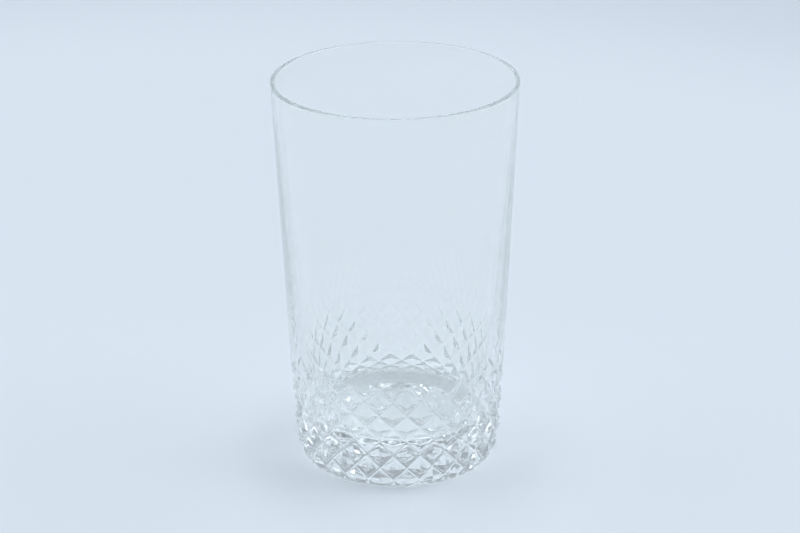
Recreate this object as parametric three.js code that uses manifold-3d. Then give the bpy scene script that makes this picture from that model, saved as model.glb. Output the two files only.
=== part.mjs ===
// A water tumbler of clear cut crystal: one piece of glass, blown and then cut.
// A tapered cup stands on a heavy base, and a band of diamond cutting runs round its lower part.
// Millimetres, +Z up, with the origin at the middle of the foot on the table.

import * as THREE from 'three';
import { mergeVertices } from 'three/addons/utils/BufferGeometryUtils.js';
import Module from 'manifold-3d';

// Outside of the blown blank
const HEIGHT = 124;
const RIM_DIAMETER = 76;
const FOOT_DIAMETER = 65.4; // where the straight side, carried down, would meet the table
const FOOT_ROUND = 2.5; // radius of the corner between the side and the foot

// Inside of the blank
const RIM_WALL = 1.3;
const BASE_WALL = 5.4; // thickness of the side where it would meet the floor of the cup
const WALL_SWELL = 1.6; // 1 thickens the side evenly from rim to floor, more keeps it thin for longer
const FLOOR_THICKNESS = 14; // glass between the floor of the cup and the table
const CORNER_ROUND = 4; // radius of the corner between the side and the floor of the cup

// Underside
const KICK_DIAMETER = 47; // shallow hollow that leaves a flat ring to stand on
const KICK_DEPTH = 1.3;

// Diamond cutting: two sets of slanting V cuts that cross
const COLUMNS = 24; // diamonds round the glass, and V cuts in each set
const DIAMOND_HEIGHT = 9.35;
const CUT_DEPTH = 1.4;
const CUT_ANGLE = 150; // across the V, in a level section
const FOOT_DEEPENING = 1.1; // how much deeper the cuts go where they run out under the foot
const DEEPENING_HEIGHT = 10; // height from which they start to go deeper
const FULL_DEPTH_HEIGHT = 20; // the cuts keep their full depth up to here
const RUN_OUT_HEIGHT = 38.5; // and come out of the surface here
const FIRST_CROSSING = 2.2; // height of the lowest row of crossings

// Fineness of the facets
const FACETS_PER_COLUMN = 4;
const ROUND_STEPS = 4;
const WALL_STEPS = 6;
const CORNER_STEPS = 5;
const KICK_STEPS = 3;

const CLEARANCE = 1; // how far a cutter stands proud of the glass

const rimRadius = RIM_DIAMETER / 2;
const footRadius = FOOT_DIAMETER / 2;
const taper = (rimRadius - footRadius) / HEIGHT;
const segments = COLUMNS * FACETS_PER_COLUMN;

const wasm = await Module();
wasm.setup();

function sideRadius(z) {
  return footRadius + taper * z;
}

// How far a height lies below the rim, from 0 at the rim to 1 at the floor of the cup.
function wayDown(z) {
  return (HEIGHT - z) / (HEIGHT - FLOOR_THICKNESS);
}

function insideRadius(z) {
  return sideRadius(z) - RIM_WALL - (BASE_WALL - RIM_WALL) * wayDown(z) ** WALL_SWELL;
}

// The angle that the inside of the wall leans out from upright at a height.
function insideLean(z) {
  const swelling = (BASE_WALL - RIM_WALL) * WALL_SWELL * wayDown(z) ** (WALL_SWELL - 1);
  return Math.atan(taper + swelling / (HEIGHT - FLOOR_THICKNESS));
}

function asSolid(geometry) {
  const bare = geometry.clone();
  bare.deleteAttribute('normal');
  bare.deleteAttribute('uv');
  const joined = mergeVertices(bare);
  const mesh = new wasm.Mesh({
    numProp: 3,
    vertProperties: new Float32Array(joined.attributes.position.array),
    triVerts: new Uint32Array(joined.index.array),
  });
  mesh.merge();
  return new wasm.Manifold(mesh);
}

function asGeometry(solid) {
  const mesh = solid.getMesh();
  const geometry = new THREE.BufferGeometry();
  geometry.setAttribute('position', new THREE.BufferAttribute(mesh.vertProperties, 3));
  geometry.setIndex(new THREE.BufferAttribute(mesh.triVerts, 1));
  geometry.computeVertexNormals();
  return geometry;
}

// The blank's half section, as radius and height, from the axis under the foot round to the axis in the cup.
function blankProfile() {
  const points = [];

  const kickRadius = KICK_DIAMETER / 2;
  for (let step = 0; step <= KICK_STEPS; step += 1) {
    const along = step / KICK_STEPS;
    points.push(new THREE.Vector2(kickRadius * along, KICK_DEPTH * (1 - along * along)));
  }

  const lean = Math.atan(taper);
  const footTangent = FOOT_ROUND * Math.tan((Math.PI / 2 - lean) / 2);
  const cornerX = footRadius - footTangent;
  for (let step = 0; step <= ROUND_STEPS; step += 1) {
    const angle = -Math.PI / 2 + (Math.PI / 2 - lean) * (step / ROUND_STEPS);
    const x = cornerX + FOOT_ROUND * Math.cos(angle);
    points.push(new THREE.Vector2(x, FOOT_ROUND + FOOT_ROUND * Math.sin(angle)));
  }

  const rimRound = RIM_WALL / 2;
  const rimCentre = rimRadius - rimRound;
  for (let step = 0; step <= ROUND_STEPS; step += 1) {
    const angle = Math.PI * (step / ROUND_STEPS);
    const x = rimCentre + rimRound * Math.cos(angle);
    points.push(new THREE.Vector2(x, HEIGHT - rimRound + rimRound * Math.sin(angle)));
  }

  const cornerMiddle = FLOOR_THICKNESS + CORNER_ROUND;
  const inLean = insideLean(cornerMiddle);
  const wallTop = HEIGHT - rimRound;
  const wallBottom = cornerMiddle - CORNER_ROUND * Math.sin(inLean);
  for (let step = 1; step < WALL_STEPS; step += 1) {
    const z = wallTop + (wallBottom - wallTop) * (step / WALL_STEPS);
    points.push(new THREE.Vector2(insideRadius(z), z));
  }

  const cornerStart = insideRadius(wallBottom) - CORNER_ROUND * Math.cos(inLean);
  for (let step = 0; step <= CORNER_STEPS; step += 1) {
    const angle = -inLean - (Math.PI / 2 - inLean) * (step / CORNER_STEPS);
    const x = cornerStart + CORNER_ROUND * Math.cos(angle);
    points.push(new THREE.Vector2(x, cornerMiddle + CORNER_ROUND * Math.sin(angle)));
  }
  points.push(new THREE.Vector2(0, FLOOR_THICKNESS));
  return points;
}

function blank() {
  const geometry = new THREE.LatheGeometry(blankProfile(), segments);
  geometry.rotateX(Math.PI / 2);
  return asSolid(geometry);
}

// How deep a cut's root lies under the side at a height, below zero where it has run out.
function rootDepth(z) {
  if (z <= FULL_DEPTH_HEIGHT) {
    const nearFoot = Math.max(1 - z / DEEPENING_HEIGHT, 0);
    return CUT_DEPTH + FOOT_DEEPENING * nearFoot ** 2;
  }
  return CUT_DEPTH * (1 - (z - FULL_DEPTH_HEIGHT) / (RUN_OUT_HEIGHT - FULL_DEPTH_HEIGHT));
}

// One V cut: a level three-cornered section, carried up the side as it turns round the glass.
function vCut(column, hand) {
  const rise = DIAMOND_HEIGHT / 2;
  const spread = Math.tan(THREE.MathUtils.degToRad(CUT_ANGLE / 2));
  const top = Math.ceil((RUN_OUT_HEIGHT - FIRST_CROSSING) / rise);
  const corners = [];
  for (let row = -1; row <= top; row += 1) {
    const z = FIRST_CROSSING + row * rise;
    const turn = ((column + (hand * row) / 2) * 2 * Math.PI) / COLUMNS;
    const out = new THREE.Vector3(Math.cos(turn), Math.sin(turn), 0);
    const across = new THREE.Vector3(-Math.sin(turn), Math.cos(turn), 0);
    const depth = Math.max(rootDepth(z), -CLEARANCE / 2);
    const lip = (depth + CLEARANCE) * spread;
    const middle = out.clone().multiplyScalar(sideRadius(z) + CLEARANCE).setZ(z);
    corners.push(out.clone().multiplyScalar(sideRadius(z) - depth).setZ(z));
    corners.push(middle.clone().addScaledVector(across, -lip));
    corners.push(middle.clone().addScaledVector(across, lip));
  }

  const faces = [0, 2, 1];
  for (let ring = 0; ring < corners.length - 3; ring += 3) {
    for (let side = 0; side < 3; side += 1) {
      const next = (side + 1) % 3;
      faces.push(ring + side, ring + next, ring + 3 + next);
      faces.push(ring + side, ring + 3 + next, ring + 3 + side);
    }
  }
  const last = corners.length - 3;
  faces.push(last, last + 1, last + 2);

  const geometry = new THREE.BufferGeometry().setFromPoints(corners);
  geometry.setIndex(faces);
  return asSolid(geometry);
}

function cutTumbler() {
  let glass = blank();
  for (const hand of [1, -1]) {
    for (let column = 0; column < COLUMNS; column += 1) {
      glass = glass.subtract(vCut(column, hand));
    }
  }
  return asGeometry(glass);
}

const crystal = new THREE.MeshStandardMaterial({
  name: 'clear_crystal',
  color: 0xe6eef4,
  roughness: 0.03,
  metalness: 0,
  transparent: true,
  opacity: 0.35,
});

const tumbler = new THREE.Mesh(cutTumbler(), crystal);
tumbler.name = 'tumbler';

const waterGlass = new THREE.Group();
waterGlass.name = 'water_glass';
waterGlass.add(tumbler);

export default waterGlass;
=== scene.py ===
# %% [markdown]
# # A cut-crystal water tumbler
#
# This lesson dresses one drinking glass for a studio picture. The glass is a single piece of
# clear crystal: a tapered cup with a thin rim, a heavy base, and a band of diamond cutting round
# its lower part. The solid model of it is already packed in a frame, in metres, with the foot on
# the table and +Z up. We keep that frame, build a finer mesh of the same glass in its place, and
# then spend most of our care on the light, because clear glass has no colour of its own. All that
# a viewer sees is the room, bent through it.

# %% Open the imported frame
import math

import bpy
import numpy as np
from mathutils import Matrix


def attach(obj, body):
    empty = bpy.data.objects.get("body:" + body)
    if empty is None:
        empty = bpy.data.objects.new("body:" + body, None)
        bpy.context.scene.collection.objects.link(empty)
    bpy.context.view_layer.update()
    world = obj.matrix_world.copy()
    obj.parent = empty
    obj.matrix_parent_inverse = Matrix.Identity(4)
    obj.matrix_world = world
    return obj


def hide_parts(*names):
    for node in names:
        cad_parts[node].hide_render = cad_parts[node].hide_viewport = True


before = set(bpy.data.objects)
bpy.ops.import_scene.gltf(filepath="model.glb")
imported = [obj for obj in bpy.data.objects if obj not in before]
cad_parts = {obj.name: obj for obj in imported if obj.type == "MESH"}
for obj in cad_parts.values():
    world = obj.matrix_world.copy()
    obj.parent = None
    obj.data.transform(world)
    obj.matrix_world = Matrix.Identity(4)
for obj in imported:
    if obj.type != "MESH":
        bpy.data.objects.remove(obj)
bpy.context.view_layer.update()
MM = 0.001

# %% [markdown]
# ## The sizes of the glass
#
# A glassmaker works from a half section: the outside, the inside, the rim and the underside. We
# write each size once, in millimetres, and let every later step read it. The wall is thin at the
# rim and swells on its way down, as a blown wall does, then turns through a round corner into a
# flat floor. The underside has a shallow hollow, so the glass stands on a ring and can't rock.

# %% Sizes of the blown blank
HEIGHT = 124.0
RIM_RADIUS = 38.0
FOOT_RADIUS = 32.7       # where the straight side, carried down, meets the table
FOOT_ROUND = 2.5
RIM_WALL = 1.3
BASE_WALL = 5.4
WALL_SWELL = 1.6         # more than 1 keeps the upper wall thin for longer
FLOOR_THICKNESS = 14.0
CORNER_ROUND = 4.0       # between the wall and the floor of the cup
KICK_RADIUS = 23.5       # of the hollow under the foot
KICK_DEPTH = 1.3

TAPER = (RIM_RADIUS - FOOT_RADIUS) / HEIGHT
LIP_HEIGHT = HEIGHT - RIM_WALL / 2    # where the wall ends and the rim's half round begins


def side_radius(z):
    """Radius of the uncut outside at a height."""
    return FOOT_RADIUS + TAPER * z


def inside_radius(z):
    """Radius of the inside of the wall at a height, above the round corner."""
    down = (HEIGHT - z) / (HEIGHT - FLOOR_THICKNESS)
    return side_radius(z) - RIM_WALL - (BASE_WALL - RIM_WALL) * down ** WALL_SWELL


for z in (110, 60, 30):
    print(f"wall at {z} mm up: {side_radius(z) - inside_radius(z):.2f} mm")

# %% [markdown]
# ## The diamond cutting
#
# On the real glass a wheel with a V edge is drawn up the side along a slanting line, 24 times one
# way and 24 times the other. Where two sets of grooves cross, what is left standing is a field of
# little four-sided pyramids. We could cut them with booleans, but then the mesh has long thin
# triangles that shade badly. It is neater to describe the depth of cut as a height field: at any
# angle and height, how far are we from the nearest groove of each set? The deeper of the two
# answers is the depth of glass that is gone. A wheel never leaves a perfect edge, so we soften the
# root of each V and the ridge between two of them by a fraction of a millimetre. At its upper end
# each groove gets shallower, until the wheel is lifted off and leaves a sharp tip.

# %% Sizes of the cutting
COLUMNS = 24             # diamonds round the glass, and grooves in each set
DIAMOND_HEIGHT = 9.35
CUT_DEPTH = 1.4
CUT_ANGLE = 150.0        # across the V, in a level section
FOOT_DEEPENING = 1.1     # how much deeper the cuts go where they run out under the foot
DEEPENING_HEIGHT = 10.0  # height below which they start to go deeper
FULL_DEPTH_HEIGHT = 20.0  # height up to which they keep their full depth
RUN_OUT_HEIGHT = 38.5    # where a cut that went on evenly would come out of the side
LIFT_HEIGHT = 36.4       # the wheel is lifted off before that, and the cut ends here
LIFT_SLOPE = 0.25        # how steeply it is lifted
FIRST_CROSSING = 2.2     # height of the lowest row of crossings
ROOT_SOFTNESS = 0.25     # how far the root of a V is rounded
RIDGE_SOFTNESS = 0.05    # how far a ridge between two cuts is rounded

CUT_SPREAD = math.tan(math.radians(CUT_ANGLE / 2))
print(f"diamonds: {COLUMNS} round, {2 * math.pi * FOOT_RADIUS / COLUMNS:.2f} mm wide at the foot")

# %% Depth of the cutting at an angle and a height
def root_depth(z):
    """Depth of a groove's root under the side: full below, running out above."""
    if z <= FULL_DEPTH_HEIGHT:
        return CUT_DEPTH + FOOT_DEEPENING * max(1 - z / DEEPENING_HEIGHT, 0.0) ** 2
    left = (RUN_OUT_HEIGHT - z) / (RUN_OUT_HEIGHT - FULL_DEPTH_HEIGHT)
    return max(min(CUT_DEPTH * left, LIFT_SLOPE * (LIFT_HEIGHT - z)), 0.0)


def smooth_larger(a, b, softness):
    """The larger of two fields, with the crease between them rounded."""
    return 0.5 * (a + b + np.sqrt((a - b) ** 2 + softness ** 2)) - softness / 4


def cut_at(angles, z):
    """Depth of glass gone at every angle of a ring."""
    deepest = root_depth(z)
    if deepest <= 0:
        return np.zeros_like(angles)
    climb = (z - FIRST_CROSSING) / DIAMOND_HEIGHT
    pitch = 2 * math.pi * side_radius(z) / COLUMNS
    sets = []
    for hand in (1, -1):
        turn = angles * COLUMNS / (2 * math.pi) - hand * climb
        aside = np.abs(turn - np.round(turn)) * pitch
        aside = np.sqrt(aside ** 2 + ROOT_SOFTNESS ** 2) - ROOT_SOFTNESS / 2
        sets.append(deepest - aside / CUT_SPREAD - aside ** 2 / (2 * side_radius(z)))
    both = smooth_larger(sets[0], sets[1], RIDGE_SOFTNESS)
    return np.clip(smooth_larger(both, 0.0, RIDGE_SOFTNESS), 0.0, None)


for z in (0, 15, 30):
    print(f"root of a groove at {z} mm up: {root_depth(z):.2f} mm deep")

# %% [markdown]
# ## A grid that follows the grooves
#
# A grid of level rings would cross every groove at a slant and saw teeth into it. So in the cut
# band we turn the grid to run with the cutting: one family of grid lines climbs to the right, the
# other to the left, and every groove is a grid line. Then we can space the lines as we like. They
# lie close together at a groove, to shape its rounded root, and far apart on the flat faces.

# %% Spacing of the grid across one diamond
# from a groove, at 0, to half way to the next one
HALF_SPACING = [0.0, 0.014, 0.03, 0.06, 0.13, 0.2, 0.275, 0.35, 0.425, 0.5]
DIAMOND_SPACING = HALF_SPACING + [1 - s for s in HALF_SPACING[-2:0:-1]]
LINES = len(DIAMOND_SPACING)
AROUND = COLUMNS * LINES
HALF_ROWS = math.ceil((RUN_OUT_HEIGHT - FIRST_CROSSING) / (DIAMOND_HEIGHT / 2))
BAND_LINES = HALF_ROWS * LINES
BAND_TOP = FIRST_CROSSING + HALF_ROWS * DIAMOND_HEIGHT / 2


def line_place(index):
    """Where a grid line lies, in diamonds round the glass."""
    return index // LINES + np.array(DIAMOND_SPACING)[index % LINES]


print(f"grid lines: {LINES} in a diamond, {AROUND} round; the band ends {BAND_TOP} mm up")

# %% [markdown]
# ## The half section
#
# Below and above the band the glass is plain turned work, so there a stack of rings is enough. We
# list them in order, from the middle of the underside out to the band, and then from the band up
# over the rim and down the inside to the middle of the floor.
#
# Smooth shading blends the normals between two rings. Where a flat stretch meets a round, the blend
# would reach far into the flat part and bend the light there too. So a holding ring is set close to
# the start of each round, and the blend stays between the two.

# %% Rings below the cut band
HOLD = 0.2               # distance of a holding ring from the start of a round
KICK_STEPS = 12
FOOT_STEPS = 4
FOOT_LEAN = math.atan(TAPER)
FOOT_FLAT = FOOT_RADIUS - FOOT_ROUND * math.tan((math.pi / 2 - FOOT_LEAN) / 2)


def outside_radius(z):
    """The uncut outside, with the round corner at the foot."""
    if z >= FOOT_ROUND * (1 - math.sin(FOOT_LEAN)):
        return side_radius(z)
    return FOOT_FLAT + math.sqrt(FOOT_ROUND ** 2 - (FOOT_ROUND - z) ** 2)


def underside():
    """The hollow under the glass, a shallow dome, and the flat ring round it."""
    dome = (KICK_RADIUS ** 2 + KICK_DEPTH ** 2) / (2 * KICK_DEPTH)
    points = []
    for step in range(1, KICK_STEPS + 1):
        r = KICK_RADIUS * step / KICK_STEPS
        points.append((r, math.sqrt(dome ** 2 - r ** 2) - dome + KICK_DEPTH))
    return points + [(KICK_RADIUS + HOLD, 0.0), (FOOT_FLAT - HOLD, 0.0), (FOOT_FLAT, 0.0)]


def foot_heights():
    """Heights of the rings on the foot's round, under the first row of crossings."""
    return [FIRST_CROSSING * (step / FOOT_STEPS) ** 2 for step in range(1, FOOT_STEPS)]


print("rings below the band:", len(underside()) + len(foot_heights()))

# %% Rings above the cut band
SIDE_STEPS = 9
RIM_STEPS = 10
WALL_STEPS = 12
CORNER_STEPS = 12
FLOOR_SHARES = (0.66, 0.33)
LEAN_STEP = 0.5          # half the height over which the lean of the wall is measured


def arc(middle, radius, start, end, steps):
    """Points on an arc in the half section, as radius and height."""
    turns = [start + (end - start) * step / steps for step in range(steps + 1)]
    return [(middle[0] + radius * math.cos(t), middle[1] + radius * math.sin(t)) for t in turns]


def upper_side():
    """The plain side above the cutting."""
    rise = LIP_HEIGHT - BAND_TOP
    heights = [BAND_TOP + rise * step / SIDE_STEPS for step in range(1, SIDE_STEPS)]
    return [(side_radius(z), z) for z in heights + [LIP_HEIGHT - HOLD]]


def rim():
    """The fire-polished lip, a half round."""
    middle = (RIM_RADIUS - RIM_WALL / 2, LIP_HEIGHT)
    return arc(middle, RIM_WALL / 2, 0.0, math.pi, RIM_STEPS)


def cup():
    """The inside of the wall, the round corner and the floor of the cup."""
    middle = FLOOR_THICKNESS + CORNER_ROUND
    lean = math.atan(inside_radius(middle + LEAN_STEP) - inside_radius(middle - LEAN_STEP))
    bottom = middle - CORNER_ROUND * math.sin(lean)
    drop = bottom - LIP_HEIGHT
    heights = [LIP_HEIGHT + drop * step / WALL_STEPS for step in range(1, WALL_STEPS)]
    heights = [LIP_HEIGHT - HOLD] + heights + [bottom + HOLD]
    points = [(inside_radius(z), z) for z in heights]
    corner = inside_radius(bottom) - CORNER_ROUND * math.cos(lean)
    points += arc((corner, middle), CORNER_ROUND, -lean, -math.pi / 2, CORNER_STEPS)
    floor = [corner - HOLD] + [corner * share for share in FLOOR_SHARES]
    return points + [(r, FLOOR_THICKNESS) for r in floor]


above = upper_side() + rim() + cup()
print("rings above the band:", len(above))

# %% [markdown]
# ## From grid to mesh
#
# Each grid point knows its angle and height, the cutting says how far it is pulled in, and that
# gives its place. Each little square is then split into two triangles. Where a ridge of a pyramid
# runs through a square, we split along the ridge and mark that edge as sharp, so that the faces on
# its two sides keep their own shading. Everything else is shaded smooth.

# %% Points of the tumbler
def turned(radii, z, columns):
    """Points at the given angles, in columns, with one radius and height or several."""
    angles = columns * 2 * math.pi / COLUMNS
    heights = np.broadcast_to(z, angles.shape)
    return np.stack([radii * np.cos(angles), radii * np.sin(angles), heights], axis=-1)


def on_glass(columns, z):
    """Points of the cut outside at the given angles, in columns, and one height or several."""
    angles = columns * 2 * math.pi / COLUMNS
    heights = np.broadcast_to(z, angles.shape)
    radii = np.empty_like(angles)
    for height in np.unique(heights):
        level = heights == height
        cut = side_radius(height) - cut_at(angles[level], height)
        radii[level] = np.minimum(outside_radius(height), cut)
    return turned(radii, heights, columns)


line = np.arange(AROUND)
climb = np.arange(BAND_LINES + 1)
right = line_place(line)[:, None]
left = line_place(line[:, None] + climb[None, :])
band_columns = (right + left) / 2
band_heights = np.round(FIRST_CROSSING + DIAMOND_HEIGHT * (left - right) / 2, 6)
band = on_glass(band_columns, band_heights)

low_columns, high_columns = band_columns[:, 0], band_columns[:, -1]
rings = [turned(r, z, low_columns) for r, z in underside()]
rings += [on_glass(low_columns, z) for z in foot_heights()]
band_start = len(rings)
rings += [band[:, k] for k in climb]
rings += [turned(r, z, high_columns) for r, z in above]
middles = np.array([[0, 0, KICK_DEPTH], [0, 0, FLOOR_THICKNESS]])
points = np.concatenate([middles] + rings) * MM
print("points:", len(points))

# %% Faces of the tumbler
def triangles(a, b, c):
    """One triangle for each three numbers of points."""
    return np.stack([a, b, c], axis=1)


def joined(low, high):
    """Two triangles for each square between two rings of the same count."""
    low_next, high_next = np.roll(low, -1), np.roll(high, -1)
    return [triangles(low, low_next, high_next), triangles(low, high_next, high)]


def ring_numbers(i):
    """Numbers of the points in a ring. The two middle points come before all rings."""
    return len(middles) + i * AROUND + line


first_ring, last_ring = ring_numbers(0), ring_numbers(len(rings) - 1)
faces = [triangles(np.zeros_like(line), np.roll(first_ring, -1), first_ring)]
for i in range(band_start):
    faces += joined(ring_numbers(i), ring_numbers(i + 1))

ridges = []
for k in climb:
    here = ring_numbers(band_start + k)
    beside = np.roll(here, -1)
    over = ring_numbers(band_start + k + 1)
    under = np.roll(ring_numbers(band_start + k - 1), -1)
    if k == 0:
        faces.append(triangles(here, beside, over))
    elif k == BAND_LINES:
        faces.append(triangles(here, under, beside))
    else:
        level_ridge = np.full(AROUND, k % LINES == 0)
        level_split = level_ridge | ((2 * line + k + 1) % LINES != 0)
        split = level_split[:, None]
        faces.append(np.where(split, triangles(here, under, beside), triangles(here, under, over)))
        faces.append(np.where(split, triangles(here, beside, over), triangles(under, beside, over)))
        ridges.append(np.stack([here, beside], axis=1)[level_ridge])
        ridges.append(np.stack([under, over], axis=1)[~level_split])

for i in range(band_start + BAND_LINES, len(rings) - 1):
    faces += joined(ring_numbers(i), ring_numbers(i + 1))
faces.append(triangles(np.ones_like(line), last_ring, np.roll(last_ring, -1)))
faces = np.concatenate(faces)
ridges = np.concatenate(ridges)
print("triangles:", len(faces))

# %% [markdown]
# A ridge only stands where both cuts have gone in. Higher up, where the cuts run out, the same grid
# lines lie on the plain side, and there they have to stay smooth. So we keep the ridges whose two
# ends are both cut.

# %% Make the object
RIDGE_SHOWS = 0.06       # depth of cut from which a ridge is kept sharp


def edge_numbers(mesh, pairs):
    """Numbers of the mesh's edges that join the given pairs of points."""
    ends = np.empty(len(mesh.edges) * 2, int)
    mesh.edges.foreach_get("vertices", ends)

    def key(edges):
        edges = np.sort(edges, axis=1)
        return edges[:, 0] * len(mesh.vertices) + edges[:, 1]

    return np.nonzero(np.isin(key(ends.reshape(-1, 2)), key(pairs)))[0]


mesh = bpy.data.meshes.new("cut_tumbler")
mesh.from_pydata(points.tolist(), [], faces.tolist())
mesh.shade_smooth()
gone = side_radius(points[:, 2] / MM) - np.hypot(points[:, 0], points[:, 1]) / MM
standing = ridges[(gone[ridges] > RIDGE_SHOWS).all(axis=1)]
sharp = mesh.attributes.new("sharp_edge", "BOOLEAN", "EDGE")
marks = np.zeros(len(mesh.edges), bool)
marks[edge_numbers(mesh, standing)] = True
sharp.data.foreach_set("value", marks)
mesh.update()

tumbler = bpy.data.objects.new("cut_tumbler", mesh)
bpy.context.scene.collection.objects.link(tumbler)
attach(tumbler, "root")
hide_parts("tumbler")
print("tumbler:", len(mesh.polygons), "triangles,", int(marks.sum()), "sharp edges")

# %% [markdown]
# ## The crystal
#
# Crystal is a dielectric: it bends light strongly, and it reflects a little of it at every surface.
# The Principled shader does that with Transmission at 1 and the index of refraction of lead
# crystal. Two things keep it from looking like a computer's glass. The first is what the maker left
# in it. The blown wall has a very slow waviness, and the wheel leaves the cut faces a trace less
# smooth than the fire-polished wall. Both come from noise in the object's own space, so that they
# stay on the glass when the camera moves.
#
# The second is depth. We could tint the surface, but then a thin wall and a thick base would be
# equally grey. Real crystal swallows a little light on every millimetre, and a Volume Absorption
# node does the same. Light that crosses the wall keeps nearly all its strength, and light that runs
# along inside the wall or through the base loses some. That draws the rim as a fine dark line.

# %% Helper for nodes
def place(tree, kind, **settings):
    """Adds a node and sets its input values by name."""
    node = tree.nodes.new(kind)
    for name, value in settings.items():
        node.inputs[name.replace("_", " ")].default_value = value
    return node


def new_material(name):
    """A material with nodes, its tree and its Principled shader."""
    material = bpy.data.materials.new(name)
    material.use_nodes = True
    return material, material.node_tree, material.node_tree.nodes["Principled BSDF"]


print("helpers: place, new_material")

# %% Material of the glass
CRYSTAL_INDEX = 1.545
SURFACE_TINT = (0.992, 0.997, 0.990, 1.0)
DEPTH_TINT = (0.885, 0.90, 0.895, 1.0)
DEPTH_DENSITY = 10.0     # per metre of glass
MARKS_FADE = 6.0         # height over which the wheel's marks fade out at the top of the cuts
MARKS_SCALE = 700.0
MARKS_FROM, MARKS_TO = 0.45, 0.75    # part of the noise that shows as marks
MARKS_ROUGHNESS = 0.03
WAVE_SCALE = 45.0
WAVE_STRENGTH = 0.2
WAVE_HEIGHT = 0.06


def clear_crystal():
    material, tree, glass = new_material("clear_crystal")
    link = tree.links.new
    glass.inputs["Base Color"].default_value = SURFACE_TINT
    glass.inputs["Transmission Weight"].default_value = 1.0
    glass.inputs["IOR"].default_value = CRYSTAL_INDEX

    where = tree.nodes.new("ShaderNodeTexCoord")
    height = tree.nodes.new("ShaderNodeSeparateXYZ")
    link(where.outputs["Object"], height.inputs[0])

    cut = place(tree, "ShaderNodeMapRange", From_Min=RUN_OUT_HEIGHT * MM,
                From_Max=(RUN_OUT_HEIGHT - MARKS_FADE) * MM)
    link(height.outputs["Z"], cut.inputs["Value"])
    polish = place(tree, "ShaderNodeTexNoise", Scale=MARKS_SCALE, Detail=2.0)
    link(where.outputs["Object"], polish.inputs["Vector"])
    haze = place(tree, "ShaderNodeMapRange", From_Min=MARKS_FROM, From_Max=MARKS_TO,
                 To_Max=MARKS_ROUGHNESS)
    link(polish.outputs["Fac"], haze.inputs["Value"])
    rough = tree.nodes.new("ShaderNodeMath")
    rough.operation = "MULTIPLY"
    link(haze.outputs[0], rough.inputs[0])
    link(cut.outputs[0], rough.inputs[1])
    link(rough.outputs[0], glass.inputs["Roughness"])

    slow = place(tree, "ShaderNodeTexNoise", Scale=WAVE_SCALE, Detail=1.0)
    link(where.outputs["Object"], slow.inputs["Vector"])
    wave = place(tree, "ShaderNodeBump", Strength=WAVE_STRENGTH, Distance=WAVE_HEIGHT * MM)
    link(slow.outputs["Fac"], wave.inputs["Height"])
    link(wave.outputs["Normal"], glass.inputs["Normal"])

    depth = place(tree, "ShaderNodeVolumeAbsorption", Color=DEPTH_TINT, Density=DEPTH_DENSITY)
    link(depth.outputs["Volume"], tree.nodes["Material Output"].inputs["Volume"])
    return material


crystal = clear_crystal()
tumbler.data.materials.append(crystal)
print("crystal:", len(crystal.node_tree.nodes), "nodes")

# %% [markdown]
# ## The table
#
# The picture is taken on a pale, plain table top that fills the whole view. A large flat plane does
# it. Its paint is almost white, and the cool blue of the picture comes from the light, so that the
# glass and the table share one tint. The table turns a little greyer towards the back, where the
# light falls off. We could dim the light there, but then the glass would change with it. So that
# falloff is painted shade: the paint itself fades to a greyer tone with the distance from a spot
# beside the glass, the middle of a painted pool of light.

# %% Paint of the table, with painted shade away from the glass
PALE_TONES = ((0.85, 0.865, 0.88, 1), (0.87, 0.885, 0.90, 1))
# painted shade: the greyer tone the table fades to far from the glass, as the light falls off
PAINTED_SHADE_TONE = (0.745, 0.76, 0.785, 1)
# middle of the painted pool of light; the painted shade grows between the two distances below
PAINTED_LIGHT_MIDDLE = (-0.12, -0.05, 0.0)     # in metres, as are the next two
FADE_START, FADE_END = 0.45, 0.66


def pale_table():
    material, tree, paint = new_material("pale_table")
    link = tree.links.new
    paint.inputs["Roughness"].default_value = 0.9
    paint.inputs["Specular IOR Level"].default_value = 0.2
    where = tree.nodes.new("ShaderNodeTexCoord")
    grain = place(tree, "ShaderNodeTexNoise", Scale=3.0, Detail=3.0)
    link(where.outputs["Object"], grain.inputs["Vector"])
    tone = tree.nodes.new("ShaderNodeValToRGB")
    for stop, colour in zip(tone.color_ramp.elements, PALE_TONES):
        stop.color = colour
    link(grain.outputs["Fac"], tone.inputs["Fac"])

    # painted shade: the paint fades to the greyer tone with distance from the painted pool of light
    away = tree.nodes.new("ShaderNodeVectorMath")
    away.operation = "DISTANCE"
    away.inputs[1].default_value = PAINTED_LIGHT_MIDDLE
    link(where.outputs["Object"], away.inputs[0])
    painted_falloff = place(tree, "ShaderNodeMapRange", From_Min=FADE_START, From_Max=FADE_END)
    painted_falloff.interpolation_type = "SMOOTHSTEP"
    link(away.outputs["Value"], painted_falloff.inputs["Value"])
    painted_shade = tree.nodes.new("ShaderNodeMix")
    painted_shade.data_type = "RGBA"
    painted_shade.inputs["B"].default_value = PAINTED_SHADE_TONE
    link(painted_falloff.outputs[0], painted_shade.inputs["Factor"])
    link(tone.outputs["Color"], painted_shade.inputs["A"])
    link(painted_shade.outputs["Result"], paint.inputs["Base Color"])
    return material


paint = pale_table()
print("table paint:", len(paint.node_tree.nodes), "nodes")

# %% Table top
TABLE_HALF = 4.0         # metres
FLOOR_GAP = 0.0002       # a hair of air, so that the foot and the table aren't one surface


def plane(name, half, z):
    """A level square about the origin."""
    mesh = bpy.data.meshes.new(name)
    corners = [(-half, -half, z), (half, -half, z), (half, half, z), (-half, half, z)]
    mesh.from_pydata(corners, [], [(0, 1, 2, 3)])
    piece = bpy.data.objects.new(name, mesh)
    bpy.context.scene.collection.objects.link(piece)
    return piece


table = plane("table_top", TABLE_HALF, -FLOOR_GAP)
table.data.materials.append(paint)
print("table:", 2 * TABLE_HALF, "m across")

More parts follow.
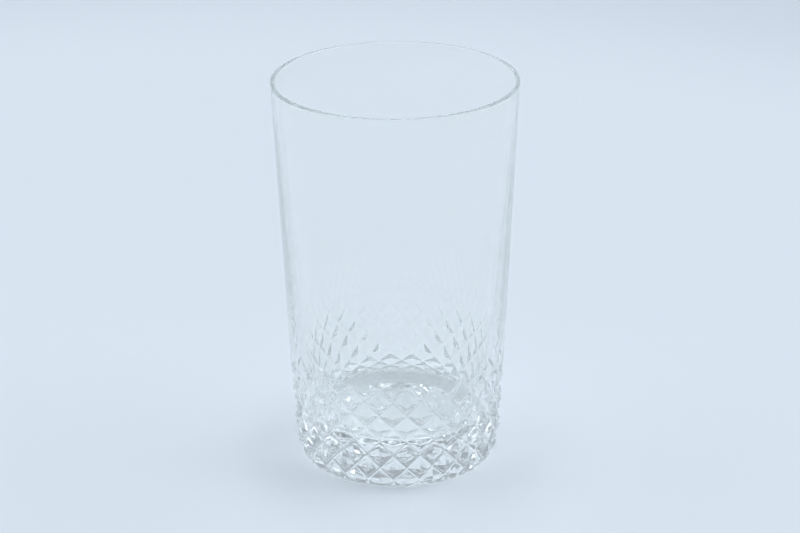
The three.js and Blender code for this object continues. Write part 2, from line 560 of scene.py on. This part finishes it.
# %% [markdown]
# ## The studio
#
# Glass shows the room, so the room is what we design. In an evenly lit white room clear glass all
# but vanishes, because every bent ray finds the same white. So the room is kept dim, two soft boxes
# high at the sides light the table, and the wall behind the glass is left dark. The edges of the
# glass bend our view towards those dark parts, and that is what draws them.
#
# Lamps could do this, but we paint the room into the world by direction, which has less noise. One
# node group makes the mask of a soft-edged card, and we place it once for each card. A card is
# described by the way it faces and by how wide it is at arm's length, as a photographer would
# describe it.

# %% Node group: a soft-edged card on the sky
NEARLY_ASIDE = 0.001     # keeps the mask finite for directions beside or behind the card


def soft_card_group():
    group = bpy.data.node_groups.new("soft card", "ShaderNodeTree")
    for name in ("Direction", "Facing", "Across", "Upward"):
        group.interface.new_socket(name, in_out="INPUT", socket_type="NodeSocketVector")
    for name in ("Half Width", "Half Height", "Edge"):
        group.interface.new_socket(name, in_out="INPUT", socket_type="NodeSocketFloat")
    group.interface.new_socket("Mask", in_out="OUTPUT", socket_type="NodeSocketFloat")
    given = group.nodes.new("NodeGroupInput").outputs
    out = group.nodes.new("NodeGroupOutput")
    link = group.links.new

    def along(axis):
        dot = group.nodes.new("ShaderNodeVectorMath")
        dot.operation = "DOT_PRODUCT"
        link(given["Direction"], dot.inputs[0])
        link(given[axis], dot.inputs[1])
        return dot.outputs["Value"]

    def sums(operation, first, second):
        node = group.nodes.new("ShaderNodeMath")
        node.operation = operation
        for socket, value in zip(node.inputs, (first, second)):
            if isinstance(value, (int, float)):
                socket.default_value = value
            else:
                link(value, socket)
        return node.outputs[0]

    ahead = sums("MAXIMUM", along("Facing"), NEARLY_ASIDE)

    def within(axis, half):
        distance = sums("DIVIDE", sums("ABSOLUTE", along(axis), 0.0), ahead)
        fall = place(group, "ShaderNodeMapRange", To_Min=1.0, To_Max=0.0)
        fall.interpolation_type = "SMOOTHSTEP"
        link(distance, fall.inputs["Value"])
        link(sums("SUBTRACT", given[half], given["Edge"]), fall.inputs["From Min"])
        link(sums("ADD", given[half], given["Edge"]), fall.inputs["From Max"])
        return fall.outputs[0]

    mask = sums("MULTIPLY", within("Across", "Half Width"), within("Upward", "Half Height"))
    link(mask, out.inputs["Mask"])
    return group


soft_card = soft_card_group()
print("soft card group:", len(soft_card.nodes), "nodes")

# %% [markdown]
# Now the world itself. It starts from the level of the dim room, a little darker at the horizon,
# and each card then covers what lies behind it. The dark wall comes first. The pale strip along its
# upper edge gives the cut faces of the base something bright to catch. The pale wall behind the
# camera lightens the facets that look back at us. The ceiling is dark, so that the crescent in the
# base is darker than the table, and the two small lamps put a few sparks into the cutting. The two
# soft boxes do the lighting, at levels that leave the table pale and not quite white.

# %% Levels and cards of the studio
LIGHT_TINT = (0.80, 0.89, 0.985)
ROOM_LEVEL = 0.48
HORIZON_LEVEL = 0.42
HORIZON_BAND = (0.10, 0.20)
STEEP = 0.8              # above this rise a card's width is laid out along the table's depth
CARDS = [
    # turn from straight behind towards the right and rise, in degrees,
    # then half width, half height, width of the soft edge, and level
    ("dark wall behind", 0, 14, 0.50, 0.25, 0.08, 0.42),
    ("pale strip behind", 0, 25, 0.50, 0.05, 0.03, 1.30),
    ("pale wall behind the camera", 180, 38, 0.60, 0.18, 0.10, 0.85),
    ("dark ceiling", 0, 84, 0.45, 0.45, 0.15, 0.30),
    ("soft box to the right", 75, 48, 0.45, 0.36, 0.16, 2.52),
    ("soft box to the left", 285, 48, 0.40, 0.32, 0.16, 1.82),
    ("small lamp overhead", 0, 78, 0.11, 0.11, 0.03, 8.0),
    ("bare lamp", 325, 38, 0.05, 0.05, 0.02, 9.0),
]


def card_axes(turn, rise):
    """The card's facing, across and upward directions, each of length 1."""
    turn, rise = math.radians(turn), math.radians(rise)
    level = math.cos(rise)
    ahead = np.array([math.sin(turn) * level, math.cos(turn) * level, math.sin(rise)])
    guide = np.array([0, 0, 1.0]) if abs(ahead[2]) < STEEP else np.array([0, 1.0, 0])
    across = np.cross(guide, ahead)
    across = across / np.linalg.norm(across)
    return ahead, across, np.cross(ahead, across)


print("studio cards:", [card[0] for card in CARDS])

# %% World
def studio_world():
    world = bpy.data.worlds.new("studio")
    world.use_nodes = True
    tree = world.node_tree
    link = tree.links.new
    where = tree.nodes.new("ShaderNodeTexCoord")
    split = tree.nodes.new("ShaderNodeSeparateXYZ")
    link(where.outputs["Generated"], split.inputs[0])
    horizon = place(tree, "ShaderNodeMapRange", From_Min=HORIZON_BAND[0], From_Max=HORIZON_BAND[1],
                    To_Min=HORIZON_LEVEL, To_Max=ROOM_LEVEL)
    horizon.interpolation_type = "SMOOTHSTEP"
    link(split.outputs["Z"], horizon.inputs["Value"])
    level = horizon.outputs[0]
    for label, turn, rise, half_width, half_height, edge, strength in CARDS:
        card = tree.nodes.new("ShaderNodeGroup")
        card.node_tree = soft_card
        card.label = label
        link(where.outputs["Generated"], card.inputs["Direction"])
        for name, axis in zip(("Facing", "Across", "Upward"), card_axes(turn, rise)):
            card.inputs[name].default_value = axis.tolist()
        card.inputs["Half Width"].default_value = half_width
        card.inputs["Half Height"].default_value = half_height
        card.inputs["Edge"].default_value = edge
        cover = tree.nodes.new("ShaderNodeMix")
        cover.inputs["B"].default_value = strength
        link(card.outputs["Mask"], cover.inputs["Factor"])
        link(level, cover.inputs["A"])
        level = cover.outputs["Result"]
    tint = tree.nodes.new("ShaderNodeVectorMath")
    tint.operation = "SCALE"
    tint.inputs[0].default_value = LIGHT_TINT
    link(level, tint.inputs["Scale"])
    link(tint.outputs[0], tree.nodes["Background"].inputs["Color"])
    return world


bpy.context.scene.world = studio_world()
print("world:", len(bpy.context.scene.world.node_tree.nodes), "nodes")

# %% [markdown]
# ## The camera
#
# The camera looks down on the glass from a little above, far enough away that the sides of the
# glass hardly converge. Its place was found by fitting the rim's ellipse, the two sides and the
# foot in the picture. The last turn about the glass's own axis brings the diamonds to the same
# place in the picture as on the real glass.

# %% Camera
PICTURE_WIDTH = 800      # pixels
FOCAL_PIXELS = 2246.0
SENSOR_WIDTH = 36.0
CAMERA_SIDE, CAMERA_BACK, CAMERA_HEIGHT = 1.07, 650.0, 338.4
CAMERA_PITCH, CAMERA_ROLL, CAMERA_SWING = 23.05, -0.45, 2.7

lens = bpy.data.cameras.new("camera")
lens.sensor_width = SENSOR_WIDTH
lens.sensor_fit = "HORIZONTAL"
lens.lens = FOCAL_PIXELS / PICTURE_WIDTH * SENSOR_WIDTH
lens.clip_start = 0.01
camera = bpy.data.objects.new("camera", lens)
bpy.context.scene.collection.objects.link(camera)
camera.matrix_world = (
    Matrix.Rotation(math.radians(CAMERA_SWING), 4, "Z")
    @ Matrix.Translation((CAMERA_SIDE * MM, -CAMERA_BACK * MM, CAMERA_HEIGHT * MM))
    @ Matrix.Rotation(math.radians(90 - CAMERA_PITCH), 4, "X")
    @ Matrix.Rotation(math.radians(CAMERA_ROLL), 4, "Z")
)
bpy.context.scene.camera = camera
print(f"lens: {lens.lens:.1f} mm")

# %% [markdown]
# ## Let the light through
#
# A ray can bounce many times between the cut faces before it finds its way out, so we allow many
# bounces. We also switch off the filter that blurs glossy rays after a rough bounce. It saves a
# little noise, but it eats light inside clear glass and would leave false dark patches.

# %% Ray settings
BOUNCES = 128

scene = bpy.context.scene
scene.view_settings.view_transform = "Standard"
scene.cycles.blur_glossy = 0.0
scene.cycles.max_bounces = BOUNCES
scene.cycles.transmission_bounces = BOUNCES
scene.cycles.glossy_bounces = BOUNCES
print("bounces:", scene.cycles.max_bounces)
